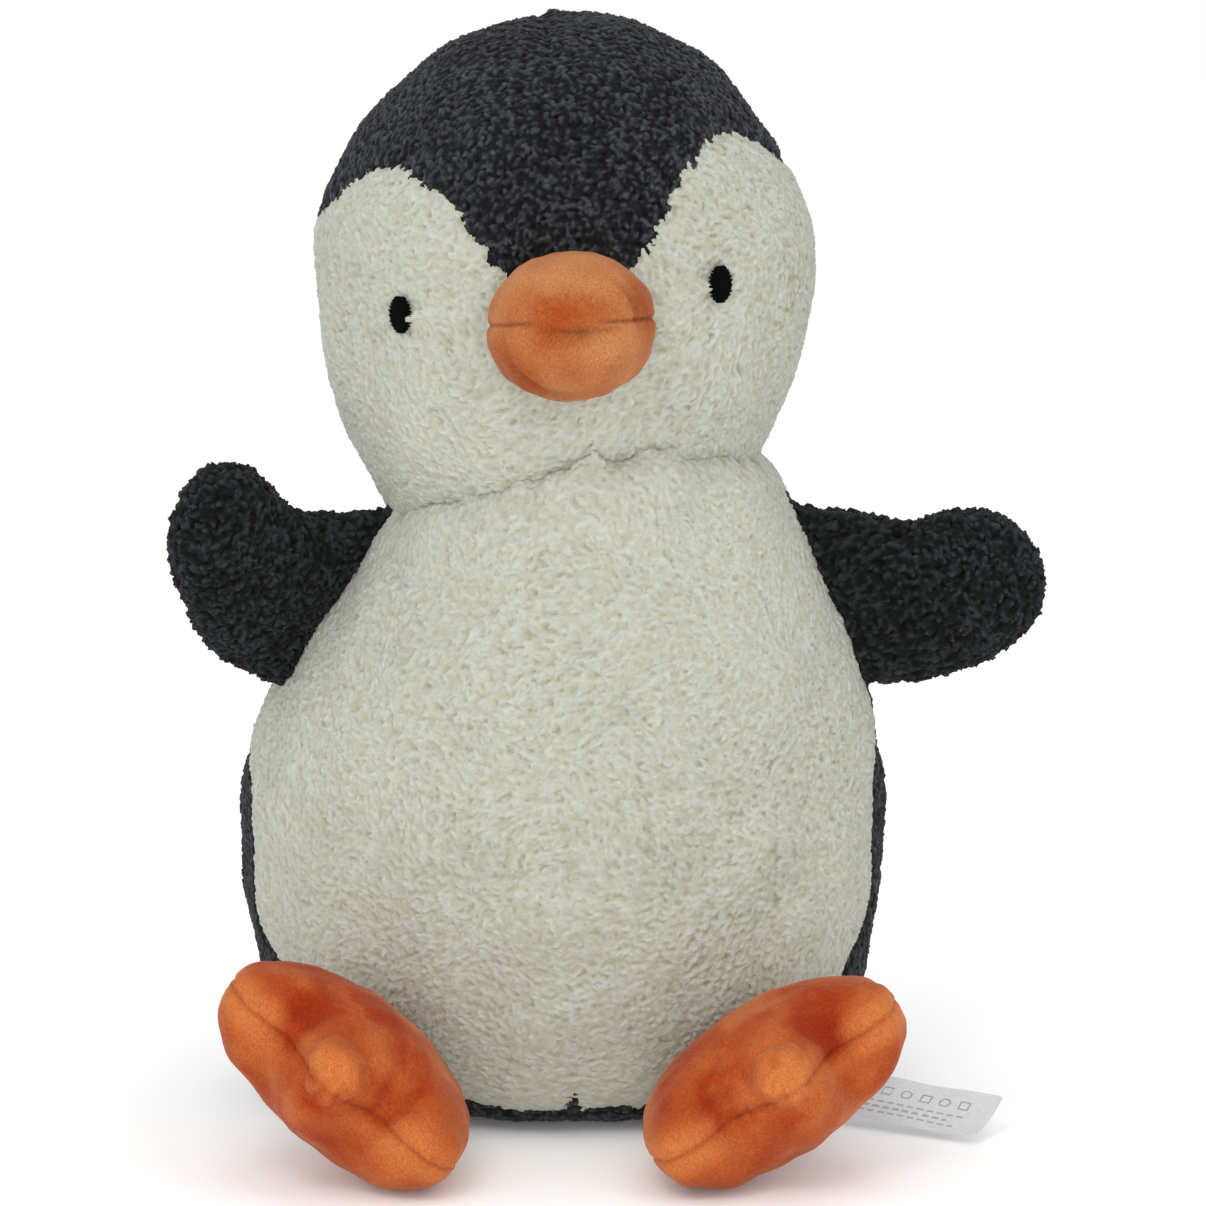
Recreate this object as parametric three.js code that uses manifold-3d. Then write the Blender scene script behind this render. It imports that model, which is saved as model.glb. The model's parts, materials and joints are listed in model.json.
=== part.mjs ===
// A seated plush penguin, stuffed and sewn from fleece panels, with short-pile beak and feet.
// Millimetres, +Z up. The penguin faces -Y, and left is -X. The floor under the seat is z = 0.
import * as THREE from "three";
import { mergeVertices } from "three/addons/utils/BufferGeometryUtils.js";
import Module from "manifold-3d";

const wasm = await Module();
wasm.setup();

// ---------- driving dimensions ----------
const GAP = 0.3; // clearance between pieces that touch
const FLEECE = 4; // thickness of a fleece panel with its pile
const VELBOA = 2; // thickness of a short-pile panel
const FILL_GAP = 1; // room round the fill of the flippers and feet
const FAR = 400; // reach of a cutting block

// Torso, from the seat up: [half width, half depth, height].
const SEAT = [50, 40, 0];
const TORSO_SIDE = [
  SEAT,
  [72, 57, 5],
  [86, 68, 20],
  [94.5, 74.5, 45],
  [98, 78, 85],
  [94.5, 77, 115],
  [86, 75, 138],
  [74.5, 72, 160],
  [61, 69, 180],
  [53, 67, 192],
  [44.5, 64, 202],
];
const TORSO_TOP = 204;
const SHOULDER_HALF = 60; // half the width between the shoulders
const LEAN = { from: 110, over: 80, by: 9, lift: 5 }; // above this height the shoulders lean to
// the right, and the right one sits higher by the lift
const SEAT_SEAM = 7; // height of the seam round the seat panel
const SIDE_SEAM = -8; // the side seams lie in this plane of y
const SHOULDER_SEAM = { from: 110, tilt: 14 }; // and lean back above this height, in degrees
const BELLY_EDGE = [
  [40, 9],
  [64, 18],
  [79, 32],
  [90, 52],
  [93, 74],
  [93.5, 92],
  [97, 110],
  [108, 128],
]; // right half of the belly panel's edge, seen from the front
const DART = { x: 3, halfWidth: 2.5, top: 17 };

// Neck: head and torso meet on a ball round one point.
const NECK = [-2, 0, 221.5];
const HEAD_BALL = 64.8;
const NECK_CUP = 67;
const NECK_THREAD = { ball: 65.6, angle: 56, radius: 0.4 };
const NECK_FILL = { ball: 64.4, top: -54.5 };

// Head, along its own axis. The ball's centre is the neck point, to the left of the axis.
const HEAD_AT = [3, 0, 222];
const BALL_ASIDE = { by: -5, from: -20, to: 25 }; // the head swings back to its axis above the ball
const HEAD_ROLL = -5.5;
const HEAD_YAW = 3;
const HEAD_HEM = -43; // lower edge of the head's panels
const HEAD_BALL_ENDS = 72; // the ball ends this many degrees from straight down
const HEAD_SIDE = [
  [68.5, 66, 0],
  [74, 67, 18],
  [75.5, 66.5, 36],
  [73, 65, 55],
  [66.5, 60, 73],
  [52.5, 49, 90],
  [32, 30, 104],
];
const HEAD_TOP = 110;
const HEAD_SEAM = -4; // front and back of the head meet in this plane of y
const FACE_EDGE = [
  [20.6, 40],
  [25.3, 48.5],
  [33, 60],
  [42, 67.5],
  [51, 70],
  [61, 66],
  [69, 57.5],
  [80, 50],
]; // right half of the white face's upper edge
const PEAK_TIP = 22; // the dark peak ends here, under the beak

const BEAK = { x: -2.4, height: 20.5, rise: 6, root: -56, flat: 0.87 };
const BEAK_SIDE = [
  [22.5, 8],
  [25.3, 18],
  [24, 29],
  [17.5, 38],
  [8, 42.5],
]; // [radius, distance from the root]
const BEAK_LENGTH = 43.5;
const EYE = { apart: 46.5, x: -3.9, z: 28.5, halfWidth: 4.6, halfHeight: 5.6, halfDepth: 2.4 };

// Flippers: the outline starts at the sewn edge; [distance from the seam, place along the seam].
const FLIPPER_OUTLINE = [
  [64.5, -13],
  [62, -3],
  [55, 4.5],
  [46, 8.5],
  [33, 10],
  [21, 16],
  [11, 25],
  [4, 30],
  [3, 12],
  [3, -12],
  [4, -31],
  [12, -35.5],
  [26, -38],
  [42, -37],
  [56, -31.5],
  [62.5, -24],
];
const FLIPPER_CENTRE = [32, -11];
const FLIPPER_SWELL = [13, 13]; // rise of the front and back panels over the seam
const FLIPPER_ROOT = { share: 0.5, reach: 26 }; // the sewn edge is flatter, up to this distance
const FLIPPERS = [
  { name: "left", side: -1, at: [-72.5, 151], slant: 33, swing: 34, lift: 0.38 },
  { name: "right", side: 1, at: [81, 157], slant: -24, swing: 0, lift: 0 },
]; // at: middle of the sewn edge in x and z; swing: towards the front

// Feet: right half of the three-toed outline; [half width, distance from the heel].
const FOOT_OUTLINE = [
  [17.5, 1],
  [29, 12],
  [38.5, 30],
  [43.5, 50],
  [42.5, 61],
  [33, 68.5],
  [20, 65.5],
  [12, 67.5],
  [8, 74],
];
const FOOT_LENGTH = 77;
const FOOT_CENTRE = [0, -40];
const FOOT_TOP = 20; // rise of the top panel over the seam
const FOOT_SOLE = 26; // drop of the sole panel under the seam
const FLOOR_GAP = 0.2;
const FEET = [
  { name: "left", heel: [-51, -64], splay: -13, rise: -5, roll: 38 },
  { name: "right", heel: [49, -64], splay: 13, rise: -5, roll: -31 },
];

const PELLET_BAG = { halfWidth: 44, halfDepth: 34, height: 32, floor: FLEECE + 2 * GAP };
const CLOSING_THREAD = { from: 62, to: 112, radius: 0.5, proud: 1 };
const LABEL = { length: 70, width: 20, thickness: 0.8 };
const LABEL_SET = { root: [67, -30, 9.8], yaw: -30, droop: 1, lean: -48 };
const LABEL_CLEARANCE = 2; // free edge round the torso, so that the label can swing

// ---------- materials ----------
function material(color, roughness) {
  return new THREE.MeshStandardMaterial({ color, roughness, metalness: 0 });
}
const DARK_FLEECE = material(0x32363c, 0.95);
const WHITE_FLEECE = material(0xe8e6dc, 0.95);
const ORANGE_PLUSH = material(0xd76e32, 0.85);
const BLACK_THREAD = material(0x101012, 0.7);
const WHITE_SATIN = material(0xe6e8ec, 0.5);
const FIBRE_FILL = material(0xf4f4f0, 1);
const PELLETS = material(0xdfe3e6, 0.6);

// ---------- solids ----------
const vector = ([x, y, z = 0]) => new THREE.Vector3(x, y, z);
const radians = THREE.MathUtils.degToRad;

function joined(geometry) {
  geometry.deleteAttribute("normal");
  geometry.deleteAttribute("uv");
  return mergeVertices(geometry, 1e-4);
}

function solid(geometry) {
  const shape = joined(geometry.clone());
  return new wasm.Manifold(
    new wasm.Mesh({
      numProp: 3,
      vertProperties: new Float32Array(shape.attributes.position.array),
      triVerts: new Uint32Array(shape.index.array),
    }),
  );
}

function mesh(name, body, look) {
  const { vertProperties, triVerts } = body.getMesh();
  const geometry = new THREE.BufferGeometry();
  geometry.setAttribute("position", new THREE.BufferAttribute(vertProperties, 3));
  geometry.setIndex(new THREE.BufferAttribute(triVerts, 1));
  const made = new THREE.Mesh(geometry, look);
  made.name = name;
  return made;
}

// The same surface moved inwards (or outwards, for a negative distance) along its normals.
function inset(geometry, distance) {
  const shape = joined(geometry.clone());
  shape.computeVertexNormals();
  const place = shape.attributes.position;
  const normal = shape.attributes.normal;
  for (let i = 0; i < place.count; i++) {
    const point = new THREE.Vector3().fromBufferAttribute(place, i);
    point.addScaledVector(new THREE.Vector3().fromBufferAttribute(normal, i), -distance);
    place.setXYZ(i, ...point.toArray());
  }
  return shape;
}

// A closed form of stacked ellipses, bottom first: Vector3(half width, half depth, height).
function stack(rings, around) {
  const profile = rings.map((ring) => new THREE.Vector2(ring.x, ring.z));
  const geometry = new THREE.LatheGeometry(profile, around).rotateX(Math.PI / 2);
  const place = geometry.attributes.position;
  for (let i = 0; i < place.count; i++) {
    const ring = rings[i % rings.length];
    if (ring.x > 0) place.setY(i, (place.getY(i) * ring.y) / ring.x);
  }
  return geometry;
}

// A pillow of two panels sewn round a closed outline, given anticlockwise in x and y. Its surface
// lies at a depth under the outer one.
function pillow({ outline, centre, swell, taper }, depth) {
  const rim = new THREE.CatmullRomCurve3(outline.map(vector), true, "centripetal");
  const middle = vector(centre);
  const geometry = new THREE.SphereGeometry(1, 24, 8).rotateX(Math.PI / 2);
  const place = geometry.attributes.position;
  for (let i = 0; i < place.count; i++) {
    const point = new THREE.Vector3().fromBufferAttribute(place, i);
    const reach = Math.hypot(point.x, point.y);
    const turn = (Math.atan2(point.y, point.x) / (2 * Math.PI) + 1) % 1;
    const along = rim.getTangentAt(turn);
    const edge = rim.getPointAt(turn).add(new THREE.Vector3(-along.y, along.x).multiplyScalar(depth));
    const spread = edge.lerp(middle, 1 - reach);
    const rise = (swell[point.z > 0 ? 0 : 1] - depth) * taper(spread);
    place.setXYZ(i, spread.x, spread.y, point.z * rise);
  }
  return geometry;
}

function block(low, high) {
  const size = vector(high).sub(vector(low));
  const geometry = new THREE.BoxGeometry(size.x, size.y, size.z);
  const middle = vector(low).add(vector(high)).multiplyScalar(0.5);
  return solid(geometry.translate(middle.x, middle.y, middle.z));
}

// The two sides of a plane across one axis (0 x, 1 y, 2 z), with half the gap taken off each.
function halves(axis, at) {
  const below = [FAR, FAR, FAR];
  const above = [-FAR, -FAR, -FAR];
  below[axis] = at - GAP / 2;
  above[axis] = at + GAP / 2;
  return { below: block([-FAR, -FAR, -FAR], below), above: block(above, [FAR, FAR, FAR]) };
}

// Everything in front of the plane y = back and inside an outline in x and z.
function frontCutter(outline, back) {
  const shape = new THREE.Shape(outline);
  const options = { depth: FAR, bevelEnabled: false };
  const geometry = new THREE.ExtrudeGeometry(shape, options).rotateX(Math.PI / 2);
  return solid(geometry.translate(0, back, 0));
}

function widened(cutter) {
  return cutter
    .add(cutter.translate([GAP, 0, 0]))
    .add(cutter.translate([-GAP, 0, 0]))
    .add(cutter.translate([0, 0, GAP]))
    .add(cutter.translate([0, 0, -GAP]));
}

// An edge given for the right half, from the middle out, as a smooth line from left to right.
function wholeEdge(rightHalf, divisions) {
  const right = new THREE.SplineCurve(rightHalf.map(([x, z]) => new THREE.Vector2(x, z)));
  const points = right.getPoints(divisions);
  const left = points.map((point) => new THREE.Vector2(-point.x, point.y)).reverse();
  return { left, right: points };
}

const penguin = new THREE.Group();

// ---------- torso ----------
function leaned(geometry) {
  const place = geometry.attributes.position;
  for (let i = 0; i < place.count; i++) {
    const share = Math.max(0, (place.getZ(i) - LEAN.from) / LEAN.over) ** 1.2;
    const toRight = 0.5 + place.getX(i) / (2 * SHOULDER_HALF);
    place.setX(i, place.getX(i) + LEAN.by * share);
    place.setZ(i, place.getZ(i) + LEAN.lift * share * toRight);
  }
  return geometry;
}

const torsoSide = new THREE.CatmullRomCurve3(TORSO_SIDE.map(vector)).getPoints(11);
const torsoForm = leaned(
  stack([new THREE.Vector3(0, 0, 0), ...torsoSide, new THREE.Vector3(0, 0, TORSO_TOP)], 24),
);
const neckCup = solid(new THREE.SphereGeometry(NECK_CUP, 32, 16).translate(...NECK));
const torsoBlock = solid(torsoForm);
const torsoSkin = torsoBlock.subtract(solid(inset(torsoForm, FLEECE))).subtract(neckCup);

function bellyOutline() {
  const edge = wholeEdge(BELLY_EDGE, 10);
  const above = [new THREE.Vector2(108, FAR), new THREE.Vector2(-108, FAR)];
  const dart = [
    new THREE.Vector2(DART.x - DART.halfWidth, -10),
    new THREE.Vector2(DART.x, DART.top),
    new THREE.Vector2(DART.x + DART.halfWidth, -10),
  ];
  const [leftOfDart, rightOfDart] = [new THREE.Vector2(-20, -10), new THREE.Vector2(20, -10)];
  return [...edge.left, leftOfDart, ...dart, rightOfDart, ...edge.right, ...above];
}

const shoulderPlane = halves(1, 0).below.rotate([-SHOULDER_SEAM.tilt, 0, 0]);
const shoulders = frontCutter(bellyOutline(), FAR / 2)
  .intersect(shoulderPlane.translate([0, SIDE_SEAM, SHOULDER_SEAM.from]))
  .intersect(block([-FAR, -FAR, SHOULDER_SEAM.from], [FAR, FAR, FAR]));
const belly = frontCutter(bellyOutline(), SIDE_SEAM).add(shoulders);
const seatSeam = halves(2, SEAT_SEAM);
const middle = halves(0, 0);
const upperSkin = torsoSkin.intersect(seatSeam.above);
const sewnDart = block([-20, -FAR, 0], [20, SIDE_SEAM, DART.top]);
const backSkin = upperSkin
  .subtract(widened(belly))
  .subtract(belly.translate([0, GAP, 0]))
  .subtract(sewnDart);
penguin.add(
  mesh("belly_panel", upperSkin.intersect(belly), WHITE_FLEECE),
  mesh("back_left", backSkin.intersect(middle.below), DARK_FLEECE),
  mesh("back_right", backSkin.intersect(middle.above), DARK_FLEECE),
  mesh("seat_panel", torsoSkin.intersect(seatSeam.below), DARK_FLEECE),
);

function pelletDome(extra) {
  const dome = new THREE.SphereGeometry(1, 16, 8);
  const size = [PELLET_BAG.halfWidth, PELLET_BAG.halfDepth, PELLET_BAG.height];
  dome.rotateX(Math.PI / 2).scale(...size.map((half) => half + extra));
  return solid(dome.translate(0, 0, PELLET_BAG.floor));
}

const aboveSeat = block([-FAR, -FAR, PELLET_BAG.floor], [FAR, FAR, FAR]);
penguin.add(
  mesh(
    "torso_stuffing",
    solid(inset(torsoForm, FLEECE + GAP)).subtract(neckCup).subtract(pelletDome(GAP)),
    FIBRE_FILL,
  ),
  mesh("pellet_bag", pelletDome(0).intersect(aboveSeat), PELLETS),
);

// The hand-sewn thread that closes the stuffing opening, on the centre back seam.
class BackSeam extends THREE.Curve {
  getPoint(share, target = new THREE.Vector3()) {
    const height = THREE.MathUtils.lerp(CLOSING_THREAD.from, CLOSING_THREAD.to, share);
    const above = torsoSide.findIndex((ring) => ring.z > height);
    const [low, high] = [torsoSide[above - 1], torsoSide[above]];
    const depth = THREE.MathUtils.mapLinear(height, low.z, high.z, low.y, high.y);
    return target.set(0, depth + CLOSING_THREAD.proud, height);
  }
}
const threadSection = new THREE.Shape().absarc(0, 0, CLOSING_THREAD.radius, 0, 2 * Math.PI);
const threadOptions = { steps: 8, extrudePath: new BackSeam(), curveSegments: 3 };
const threadBar = solid(new THREE.ExtrudeGeometry(threadSection, threadOptions));
const closingThread = threadBar.subtract(solid(inset(torsoForm, -GAP / 2)));
penguin.add(mesh("back_closing_thread", closingThread, BLACK_THREAD));

// ---------- head ----------
const head = new THREE.Group();
head.position.set(...HEAD_AT);
head.rotation.set(0, radians(HEAD_ROLL), radians(HEAD_YAW));
penguin.add(head);

const ballRings = [];
for (let angle = 0; angle <= HEAD_BALL_ENDS; angle += HEAD_BALL_ENDS / 4) {
  const across = HEAD_BALL * Math.sin(radians(angle));
  ballRings.push(new THREE.Vector3(across, across, -HEAD_BALL * Math.cos(radians(angle))));
}
const headSide = new THREE.CatmullRomCurve3([ballRings.at(-1), ...HEAD_SIDE.map(vector)]);
const headRings = [...ballRings, ...headSide.getPoints(9).slice(1), new THREE.Vector3(0, 0, HEAD_TOP)];
const headForm = stack(headRings, 24);
const headPlace = headForm.attributes.position;
for (let i = 0; i < headPlace.count; i++) {
  const back = THREE.MathUtils.smoothstep(headPlace.getZ(i), BALL_ASIDE.from, BALL_ASIDE.to);
  headPlace.setX(i, headPlace.getX(i) + BALL_ASIDE.by * (1 - back));
}
const headBlock = solid(headForm);
const headClear = solid(inset(headForm, -GAP));
const aboveHem = block([-FAR, -FAR, HEAD_HEM], [FAR, FAR, FAR]);
const headSkin = headBlock.subtract(solid(inset(headForm, FLEECE))).intersect(aboveHem);

function faceOutline() {
  const edge = wholeEdge(FACE_EDGE, 10);
  return [
    new THREE.Vector2(-FAR, -FAR),
    new THREE.Vector2(FAR, -FAR),
    new THREE.Vector2(FAR, FACE_EDGE.at(-1)[1]),
    ...edge.right.reverse(),
    new THREE.Vector2(0, PEAK_TIP),
    ...edge.left.reverse(),
    new THREE.Vector2(-FAR, FACE_EDGE.at(-1)[1]),
  ];
}

const face = frontCutter(faceOutline(), FAR / 2);
const headSeam = halves(1, HEAD_SEAM);
const headFront = headSkin.intersect(headSeam.below);
const headBack = headSkin.intersect(headSeam.above);
const faceSkin = headFront.intersect(face);
const crownSkin = headFront.subtract(widened(face));
for (const [name, half] of [["left", middle.below], ["right", middle.above]]) {
  head.add(
    mesh("face_" + name, faceSkin.intersect(half), WHITE_FLEECE),
    mesh("crown_" + name, crownSkin.intersect(half), DARK_FLEECE),
    mesh("head_back_" + name, headBack.intersect(half), DARK_FLEECE),
  );
}
head.add(mesh("head_stuffing", solid(inset(headForm, FLEECE + GAP)).intersect(aboveHem), FIBRE_FILL));

// ---------- neck ----------
const neckBall = solid(new THREE.SphereGeometry(NECK_FILL.ball, 20, 14).translate(BALL_ASIDE.by, 0, 0));
const neckFill = neckBall.intersect(block([-FAR, -FAR, -FAR], [FAR, FAR, NECK_FILL.top]));
const threadRadius = NECK_THREAD.ball * Math.sin(radians(NECK_THREAD.angle));
const threadHeight = -NECK_THREAD.ball * Math.cos(radians(NECK_THREAD.angle));
const neckThread = new THREE.TorusGeometry(threadRadius, NECK_THREAD.radius, 4, 28);
head.add(
  mesh("neck_stuffing", neckFill, FIBRE_FILL),
  mesh("neck_thread", solid(neckThread.translate(BALL_ASIDE.by, 0, threadHeight)), BLACK_THREAD),
);

// ---------- beak and eyes ----------
const beakSide = BEAK_SIDE.map(([radius, along]) => new THREE.Vector2(radius, along));
const beakCurve = new THREE.SplineCurve(beakSide);
const beakProfile = [
  new THREE.Vector2(0, 0),
  ...beakCurve.getPoints(7),
  new THREE.Vector2(0, BEAK_LENGTH),
];
function beakPlaced(geometry) {
  geometry.scale(1, 1, BEAK.flat).rotateX(Math.PI).rotateX(radians(-BEAK.rise));
  return geometry.translate(BEAK.x, BEAK.root, BEAK.height);
}
const beakForm = beakPlaced(new THREE.LatheGeometry(beakProfile, 16));
const beakSkin = solid(beakForm).subtract(solid(inset(beakForm, VELBOA))).subtract(headClear);
const beakSeam = halves(2, 0);
function tiltedWithBeak(half) {
  return half.rotate([-BEAK.rise, 0, 0]).translate([BEAK.x, BEAK.root, BEAK.height]);
}
head.add(
  mesh("beak_upper", beakSkin.intersect(tiltedWithBeak(beakSeam.above)), ORANGE_PLUSH),
  mesh("beak_lower", beakSkin.intersect(tiltedWithBeak(beakSeam.below)), ORANGE_PLUSH),
  mesh("beak_stuffing", solid(inset(beakForm, VELBOA + GAP)).subtract(headClear), FIBRE_FILL),
);

for (const [name, side] of [["left", -1], ["right", 1]]) {
  const ring = headRings.find(({ z }) => z > EYE.z);
  const across = EYE.x + side * EYE.apart;
  const depth = ring.y * Math.sqrt(1 - (across / ring.x) ** 2);
  const oval = new THREE.SphereGeometry(1, 12, 6).scale(EYE.halfWidth, EYE.halfDepth, EYE.halfHeight);
  oval.rotateZ(Math.atan2(across, depth)).translate(across, -depth, EYE.z);
  head.add(mesh("eye_" + name, solid(oval).subtract(headClear), BLACK_THREAD));
}

// ---------- flippers ----------
function addPillow(group, design, skin, names, look) {
  const shell = solid(pillow(design, 0)).subtract(solid(pillow(design, skin)));
  const seam = halves(2, 0);
  group.add(
    mesh(names[0], shell.intersect(seam.above), look),
    mesh(names[1], shell.intersect(seam.below), look),
    mesh(names[2], solid(pillow(design, skin + FILL_GAP)), FIBRE_FILL),
  );
}

for (const { name, side, at, slant, swing, lift } of FLIPPERS) {
  const outline = FLIPPER_OUTLINE.map(([out, along]) => [side * out, along + lift * out]);
  const centre = [side * FLIPPER_CENTRE[0], FLIPPER_CENTRE[1] + lift * FLIPPER_CENTRE[0]];
  const ordered = side > 0 ? outline : outline.toReversed();
  const flatRoot = (point) => {
    const out = THREE.MathUtils.smoothstep(Math.abs(point.x), 0, FLIPPER_ROOT.reach);
    return THREE.MathUtils.lerp(FLIPPER_ROOT.share, 1, out);
  };
  const design = { outline: ordered, centre, swell: FLIPPER_SWELL, taper: flatRoot };
  const hinge = new THREE.Group();
  hinge.position.set(at[0], SIDE_SEAM, at[1]);
  hinge.rotation.set(0, radians(slant), 0);
  const flipper = new THREE.Group();
  flipper.rotation.set(Math.PI / 2, 0, radians(-side * swing), "ZXY");
  hinge.add(flipper);
  penguin.add(hinge);
  const names = ["front", "back", "stuffing"].map((piece) => `flipper_${name}_${piece}`);
  addPillow(flipper, design, FLEECE, names, DARK_FLEECE);
}

// ---------- feet ----------
function footOutline() {
  const right = FOOT_OUTLINE.map(([half, along]) => [half, -along]);
  const left = FOOT_OUTLINE.map(([half, along]) => [-half, -along]);
  return [...right.toReversed(), ...left, [0, -FOOT_LENGTH]];
}

for (const { name, heel, splay, rise, roll } of FEET) {
  const slimHeel = (point) => 0.72 + 0.28 * THREE.MathUtils.smoothstep(-point.y, 0, 45);
  const design = {
    outline: footOutline(),
    centre: FOOT_CENTRE,
    swell: [FOOT_TOP, FOOT_SOLE],
    taper: slimHeel,
  };
  const foot = new THREE.Group();
  foot.rotation.set(radians(rise), radians(roll), radians(splay), "ZXY");
  foot.updateMatrix();
  const turned = pillow(design, 0).applyMatrix4(foot.matrix);
  turned.computeBoundingBox();
  foot.position.set(...heel, FLOOR_GAP - turned.boundingBox.min.z);
  penguin.add(foot);
  const names = ["top", "sole", "stuffing"].map((piece) => `foot_${name}_${piece}`);
  addPillow(foot, design, VELBOA, names, ORANGE_PLUSH);
}

// ---------- care label ----------
const label = new THREE.Group();
label.position.set(...LABEL_SET.root);
label.rotation.set(radians(LABEL_SET.lean), radians(LABEL_SET.droop), radians(LABEL_SET.yaw), "ZYX");
const strip = new THREE.BoxGeometry(LABEL.length, LABEL.thickness, LABEL.width);
strip.translate(LABEL.length / 2, 0, 0);
label.updateMatrix();
const torsoFromLabel = inset(torsoForm, -LABEL_CLEARANCE).applyMatrix4(label.matrix.clone().invert());
label.add(mesh("care_label", solid(strip).subtract(solid(torsoFromLabel)), WHITE_SATIN));
penguin.add(label);

export default penguin;
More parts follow.
